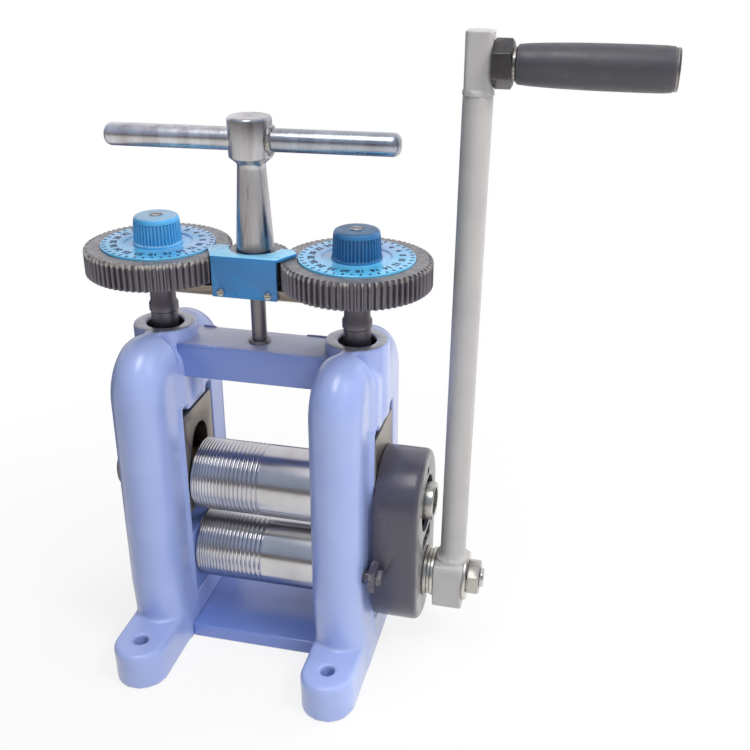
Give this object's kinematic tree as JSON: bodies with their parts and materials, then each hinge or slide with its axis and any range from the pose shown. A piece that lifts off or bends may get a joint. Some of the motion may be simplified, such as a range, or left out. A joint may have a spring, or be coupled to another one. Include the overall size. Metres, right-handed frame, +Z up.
{
  "type": "rolling mill",
  "caption": "Hand cranked bench rolling mill: grooved rolls between domed side frames, geared screw-down with graduated dials and a tee handle, and a long side crank with a grip.",
  "frame": {"origin": "on the bench, at the centre of the four foot holes", "axes": "+X along the rolls towards the crank, +Y towards the rear, +Z up"},
  "size_m": [0.3997, 0.2232, 0.47],
  "materials": {
    "frame_enamel": "gloss enamel on cast iron",
    "cover_enamel": "satin dark grey enamel",
    "bronze": "turned bronze",
    "block_steel": "milled steel",
    "black_steel": "black oxide",
    "dial_blue": "blue anodised",
    "fastener_zinc": "zinc plated",
    "spring_steel": "oiled spring wire",
    "roll_steel": "hardened, ground and polished",
    "gear_steel": "machined, oiled",
    "crank_enamel": "light grey paint",
    "grip_steel": "machined steel",
    "grip_plastic": "dark grey moulded plastic",
    "strip_steel": "cold rolled strip",
    "bracket_blue": "blue gloss paint",
    "handle_chrome": "bright plated, welded joint"
  },
  "bodies": {
    "frame": {"base_plate": "frame_enamel", "left_side_frame": "frame_enamel", "right_side_frame": "frame_enamel", "top_crossbar": "frame_enamel", "shaft_bush": "bronze", "gear_cover": "cover_enamel", "cover_bolts": "fastener_zinc", "left_screw_nut": "bronze", "left_lower_block": "block_steel", "left_lower_bush": "bronze", "right_screw_nut": "bronze", "right_lower_block": "block_steel", "right_lower_bush": "bronze"},
    "drive_roll": {"lower_roll": "roll_steel", "lower_roll_gear": "gear_steel", "lower_gear_key": "gear_steel", "crank_spacers": "bronze", "crank_hub": "crank_enamel", "hub_key": "gear_steel", "hub_washer": "fastener_zinc", "hub_nut": "fastener_zinc", "crank_arm": "crank_enamel", "crank_head": "crank_enamel", "grip_axle": "grip_steel", "grip_nut": "grip_steel"},
    "grip_sleeve": {"grip": "grip_plastic", "grip_ring": "grip_steel"},
    "bearing_carriage": {"left_upper_block": "block_steel", "right_upper_block": "block_steel", "left_upper_bush": "bronze", "right_upper_bush": "bronze", "thrust_pads": "block_steel", "return_springs": "spring_steel"},
    "driven_roll": {"upper_roll": "roll_steel", "upper_roll_gear": "gear_steel", "upper_gear_key": "gear_steel", "upper_shaft_nut": "fastener_zinc", "upper_end_collar": "roll_steel"},
    "screw_carriage": {"carrier_bar": "strip_steel", "gear_bracket": "bracket_blue", "bracket_screws": "fastener_zinc"},
    "tee_handle": {"centre_pinion": "black_steel", "centre_shaft": "black_steel", "handle_hub": "handle_chrome", "handle_bar": "handle_chrome"},
    "left_adjuster": {"left_screw": "black_steel", "left_screw_gear": "black_steel"},
    "right_adjuster": {"right_screw": "black_steel", "right_screw_gear": "black_steel"},
    "left_dial_set": {"left_dial": "dial_blue", "left_knob": "dial_blue", "left_knob_screw": "fastener_zinc"},
    "right_dial_set": {"right_dial": "dial_blue", "right_knob": "dial_blue", "right_knob_screw": "fastener_zinc"}
  },
  "joints": [
    {"name": "crank_spin", "type": "hinge", "parent": "frame", "child": "drive_roll", "pos_m": [0, 0, 0.0655], "axis": [1, 0, 0], "continuous": true},
    {"name": "grip_spin", "type": "hinge", "parent": "drive_roll", "child": "grip_sleeve", "pos_m": [0.22, 0, 0.4505], "axis": [1, 0, 0], "continuous": true},
    {"name": "upper_block_lift", "type": "slide", "parent": "frame", "child": "bearing_carriage", "axis": [0, 0, 1], "range_m": [-0.00705, 0.00205], "deforming": ["return_springs"]},
    {"name": "upper_roll_spin", "type": "hinge", "parent": "bearing_carriage", "child": "driven_roll", "pos_m": [0, 0, 0.1295], "axis": [1, 0, 0], "continuous": true},
    {"name": "screw_carriage_lift", "type": "slide", "parent": "frame", "child": "screw_carriage", "axis": [0, 0, 1], "range_m": [-0.00705, 0.00205]},
    {"name": "handle_turn", "type": "hinge", "parent": "screw_carriage", "child": "tee_handle", "pos_m": [0, 0, 0.31], "axis": [0, 0, 1], "range_deg": [-671, 2351]},
    {"name": "left_screw_turn", "type": "hinge", "parent": "screw_carriage", "child": "left_adjuster", "pos_m": [-0.074, 0, 0.294], "axis": [0, 0, 1], "range_deg": [-1010, 290]},
    {"name": "right_screw_turn", "type": "hinge", "parent": "screw_carriage", "child": "right_adjuster", "pos_m": [0.074, 0, 0.294], "axis": [0, 0, 1], "range_deg": [-1010, 290]},
    {"name": "left_dial_turn", "type": "hinge", "parent": "left_adjuster", "child": "left_dial_set", "pos_m": [-0.074, 0, 0.318], "axis": [0, 0, 1], "continuous": true},
    {"name": "right_dial_turn", "type": "hinge", "parent": "right_adjuster", "child": "right_dial_set", "pos_m": [0.074, 0, 0.318], "axis": [0, 0, 1], "continuous": true}
  ],
  "couplings": [
    {"joint": "upper_roll_spin", "follows": "crank_spin", "ratio": -1},
    {"joint": "left_screw_turn", "follows": "handle_turn", "ratio": -0.42857},
    {"joint": "right_screw_turn", "follows": "handle_turn", "ratio": -0.42857},
    {"joint": "screw_carriage_lift", "follows": "handle_turn", "m_per_rad": -0.00017052},
    {"joint": "upper_block_lift", "follows": "handle_turn", "m_per_rad": -0.00017052}
  ]
}
